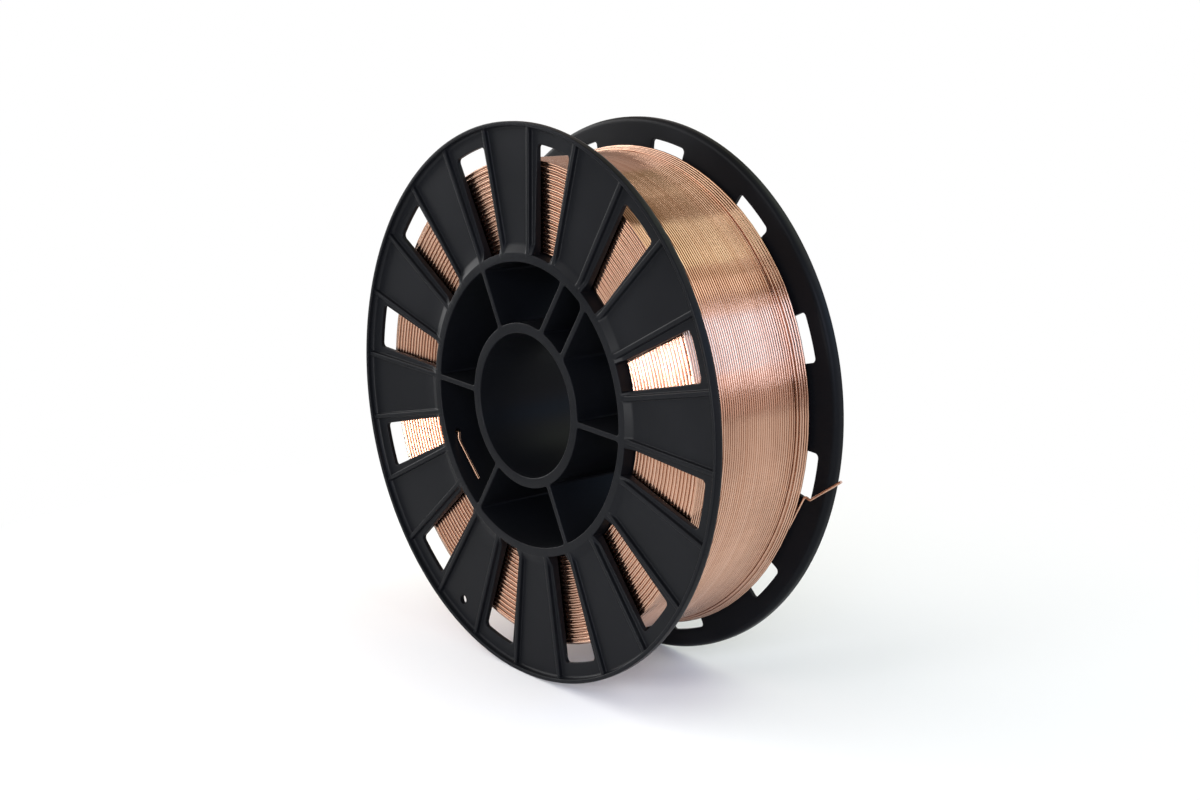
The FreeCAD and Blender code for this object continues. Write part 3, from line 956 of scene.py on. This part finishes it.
# Kinks and tips are given as radius and angle; bends as the radii of the line's two corners.
OUTER_RUN = 22.5
OUTER_KINK = (93.3, 105.7)
OUTER_TIP = (104.9, 98.6)
OUTER_BENDS = (1.0, 1.0)
OUTER_CLEARANCE = 0.15
outer_y = HALF_WIDTH + wire_face_height(OUTER_KINK[0]) - WIRE_RADIUS - OUTER_CLEARANCE
leave = polar(BAND_CENTRE, LEAVE_ANGLE, BAND_Y)
onward = polar(1, LEAVE_ANGLE - 90, 0).normalized()
points = [leave, leave + onward * OUTER_RUN * MM, polar(*OUTER_KINK, outer_y),
          polar(*OUTER_TIP, outer_y)]
tail = wire_end("outer_tail", bent(points, OUTER_BENDS))
piece = finished("wire_outer_tail", tail)
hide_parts("wire_outer_end")

STRAND_DEPTH = 4.1
STRAND_RADIUS = 50.55
STRAND_BEND_ANGLE = 245.0
STRAND_TIP = (47.8, 224.0)
STRAND_BENDS = (1.0, 6.0)
hole_y = BARREL_HOLE[1] - HALF_WIDTH
strand_y = STRAND_DEPTH - HALF_WIDTH
points = [polar(HEART_INSIDE, BARREL_HOLE[0], hole_y), polar(STRAND_RADIUS, BARREL_HOLE[0], hole_y),
          polar(STRAND_RADIUS, STRAND_BEND_ANGLE, strand_y), polar(*STRAND_TIP, strand_y)]
tail = wire_end("inner_tail", bent(points, STRAND_BENDS))
piece = finished("wire_inner_tail", tail)
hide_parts("wire_inner_end")


# Floor and room: a plain white floor under the rims and a white room. The camera and mirrors see
# both at full white, but as light on the spool the room is dimmer. Near the spool the floor keeps
# its shadow, and further out it goes over into plain white.
def direct_or_mirrored(tree):
    """Factor that is 1 where the camera sees a thing itself, in a mirror or through glass."""
    ray = node(tree, "ShaderNodeLightPath").outputs
    either = node(tree, "ShaderNodeMath", {0: ray["Is Camera Ray"], 1: ray["Is Glossy Ray"]},
                  operation="MAXIMUM")
    return node(tree, "ShaderNodeMath", {0: either.outputs[0], 1: ray["Is Transmission Ray"]},
                operation="MAXIMUM").outputs[0]


FLOOR_HALF = 3.0
FLOOR_BELOW = 0.1 * MM
SHADOW_WITHIN = 150 * MM
WHITE_FROM = 340 * MM
floor_data = bpy.data.meshes.new("floor")
floor_z = cad_box[0][2] - FLOOR_BELOW
corners = [(-1, -1), (1, -1), (1, 1), (-1, 1)]
floor_data.from_pydata([(x * FLOOR_HALF, y * FLOOR_HALF, floor_z) for x, y in corners],
                       [], [(0, 1, 2, 3)])
floor = bpy.data.objects.new("floor", floor_data)
bpy.context.scene.collection.objects.link(floor)
paper, tree, output = new_material("white_paper_sweep")
spot = node(tree, "ShaderNodeTexCoord").outputs["Object"]
away = node(tree, "ShaderNodeVectorMath", {0: spot}, operation="LENGTH")
whiter = node(tree, "ShaderNodeMapRange", {
    "Value": away.outputs["Value"], "From Min": SHADOW_WITHIN, "From Max": WHITE_FROM,
    "To Min": 0.05, "To Max": 1.0,
})
seen = node(tree, "ShaderNodeMath", {
    0: direct_or_mirrored(tree), 1: whiter.outputs["Result"],
}, operation="MULTIPLY")
matt = node(tree, "ShaderNodeBsdfDiffuse", {"Color": to_linear("#f2f2f2")})
bright = node(tree, "ShaderNodeEmission", {"Color": to_linear("#ffffff"), "Strength": 1.0})
mixed = node(tree, "ShaderNodeMixShader", {
    0: seen.outputs[0], 1: matt.outputs[0], 2: bright.outputs[0],
})
tree.links.new(mixed.outputs[0], output.inputs["Surface"])
floor_data.materials.append(paper)

ROOM = 0.7
world = bpy.data.worlds.new("studio")
world.use_nodes = True
bpy.context.scene.world = world
tree = world.node_tree
tree.nodes.clear()
strength = node(tree, "ShaderNodeMix", {
    "Factor": direct_or_mirrored(tree), "A": ROOM, "B": 1.0,
}, data_type="FLOAT")
room = node(tree, "ShaderNodeBackground", {
    "Color": to_linear("#ffffff"), "Strength": strength.outputs["Result"],
})
node(tree, "ShaderNodeOutputWorld", {"Surface": room.outputs[0]})


# Cards and a cloth: a dark card on the near side and, low on the left, a grey card and a grey
# cloth. The black faces and the wire in the windows mirror them.
def stand_towards(thing, direction, distance):
    """Stand a card or lamp in a direction from the spool's middle, facing it."""
    thing.location = Vector(direction).normalized() * distance
    thing.rotation_euler = Vector(direction).to_track_quat("Z", "Y").to_euler()


def stage_sheet(name, rows, paint):
    """Sheet of the studio over a grid of points; the camera doesn't see it, but mirrors do."""
    data = bpy.data.meshes.new(name)
    wide = len(rows[0])
    corners = [(row * wide + column, row * wide + column + 1, (row + 1) * wide + column + 1,
                (row + 1) * wide + column)
               for row in range(len(rows) - 1) for column in range(wide - 1)]
    data.from_pydata([point for row in rows for point in row], [], corners)
    data.materials.append(paint)
    sheet = bpy.data.objects.new(name, data)
    sheet.visible_camera = False
    bpy.context.scene.collection.objects.link(sheet)
    return sheet


def matt_card(name, width, height, colour):
    """Flat matt card or cloth."""
    paint, tree, output = new_material(name)
    matt = node(tree, "ShaderNodeBsdfDiffuse", {"Color": to_linear(colour)})
    tree.links.new(matt.outputs[0], output.inputs["Surface"])
    x, y = width / 2, height / 2
    return stage_sheet(name, [[(-x, -y, 0), (x, -y, 0)], [(-x, y, 0), (x, y, 0)]], paint)


CARD_GREY = "#969696"
dark_card = matt_card("dark_side_of_the_room", 4.0, 2.2, "#161616")
stand_towards(dark_card, (-0.35, -0.93, 0.12), 1.6)
grey_card = matt_card("grey_card_low_left", 0.42, 0.26, CARD_GREY)
stand_towards(grey_card, (-0.744, -0.633, -0.02), 0.85)
grey_cloth = matt_card("grey_cloth_on_the_floor", 0.6, 0.48, CARD_GREY)
grey_cloth.location = (-0.42, -0.44, floor_z + MM)
grey_cloth.rotation_euler = (0, 0, math.radians(40))
grey_cloth.visible_shadow = False
grey_cloth.visible_diffuse = False

# Lit sheets round the winding, which draw its bands of grey, gold, copper and rose: name, angles
# on the winding, fan angles, colour and strength, where 1 is the white of the room.
STUDIO_SIZE = 1.25
SHEET_STEPS = 12
SHEETS = (
    ("pale_sheet", -10, 17.5, -70, 80, "#ffeee6", 0.55),
    ("shaded_sheet", 17.5, 26, -90, 80, "#fff4d4", 0.4),
    ("lighter_sheet", 26, 30, -90, 80, "#fff6d8", 0.53),
    ("second_shaded_sheet", 30, 38, -90, 80, "#fff2d2", 0.43),
    ("gold_sheet", 38, 46, -9, 75, "#f6ffe6", 1.95),
    ("bright_gold_sheet", 46, 50.5, -9, 75, "#f4ffe6", 2.15),
    ("copper_sheet", 50.5, 54, -9, 75, "#fff9e6", 1.45),
    ("white_sheet", 54, 58, -9, 75, "#fffcf2", 2.2),
    ("second_copper_sheet", 58, 62.5, -9, 75, "#fff8f2", 1.5),
    ("rose_sheet", 62.5, 75, -9, 75, "#b7d8ff", 2.25),
    ("dull_rose_sheet", 75, 84, -9, 75, "#fff2f2", 1.35),
    ("dull_sheet", 84, 90.5, -9, 75, "#fff0f0", 0.85),
    ("low_white_sheet", 90.5, 94, -9, 75, "#f7fcff", 1.5),
    ("dark_flank_sheet", 38.3, 100, -80, -10, "#ffe8d8", 0.2),
)


def lit_sheet(name, first_angle, last_angle, first_fan, last_fan, colour, strength):
    """Lit sheet that the winding mirrors to the camera between two angles, from its top to the right.

    The fan angle, from the wire's outer side towards the far flange, tells which flank of each
    wire mirrors it."""
    rows = []
    for row in range(SHEET_STEPS + 1):
        angle = math.radians(first_angle + (last_angle - first_angle) * row / SHEET_STEPS)
        outward = Vector((math.sin(angle), 0, math.cos(angle)))
        onward = Vector((math.cos(angle), 0, -math.sin(angle)))
        wire = outward * (PACK_CENTRE + WIRE_RADIUS) * MM
        slide = (camera_place - wire).normalized().dot(onward)
        points = []
        for column in range(SHEET_STEPS + 1):
            fan = math.radians(first_fan + (last_fan - first_fan) * column / SHEET_STEPS)
            across = outward * math.cos(fan) + Vector((0, math.sin(fan), 0))
            mirrored = across * math.sqrt(1 - slide ** 2) - onward * slide
            points.append(wire + mirrored * STUDIO_SIZE)
        rows.append(points)
    paint, tree, output = new_material(name)
    glow = node(tree, "ShaderNodeEmission", {"Color": to_linear(colour), "Strength": strength})
    tree.links.new(glow.outputs[0], output.inputs["Surface"])
    return stage_sheet(name, rows, paint)


for sheet in SHEETS:
    lit_sheet(*sheet)


# Soft lamps, the nearest of them low in front: name, width, height, power in watts, colour,
# direction and distance.
LAMPS = (
    ("lamp_front_right", 0.5, 0.5, 5.0, "#dbe4ff", (0.744, -0.633, 0.35), 1.0),
    ("lamp_front_above", 1.6, 0.5, 7.0, "#ffffff", (-0.35, -0.75, 0.58), 1.1),
    ("lamp_left", 0.7, 1.0, 9.0, "#ffffff", (-0.92, -0.25, 0.30), 1.2),
    ("lamp_low_in_front", 0.09, 0.09, 1.3, "#ffffff", (-0.08, -1.0, 0.0), 0.46),
)


def soft_lamp(name, width, height, power, colour):
    """Flat soft lamp, which the camera doesn't see."""
    lamp = bpy.data.lights.new(name, "AREA")
    lamp.shape = "RECTANGLE"
    lamp.size = width
    lamp.size_y = height
    lamp.energy = power
    lamp.color = to_linear(colour)[:3]
    holder = bpy.data.objects.new(name, lamp)
    holder.visible_camera = False
    bpy.context.scene.collection.objects.link(holder)
    return holder


for name, width, height, power, colour, direction, distance in LAMPS:
    stand_towards(soft_lamp(name, width, height, power, colour), direction, distance)

bpy.context.scene.view_settings.view_transform = "Standard"
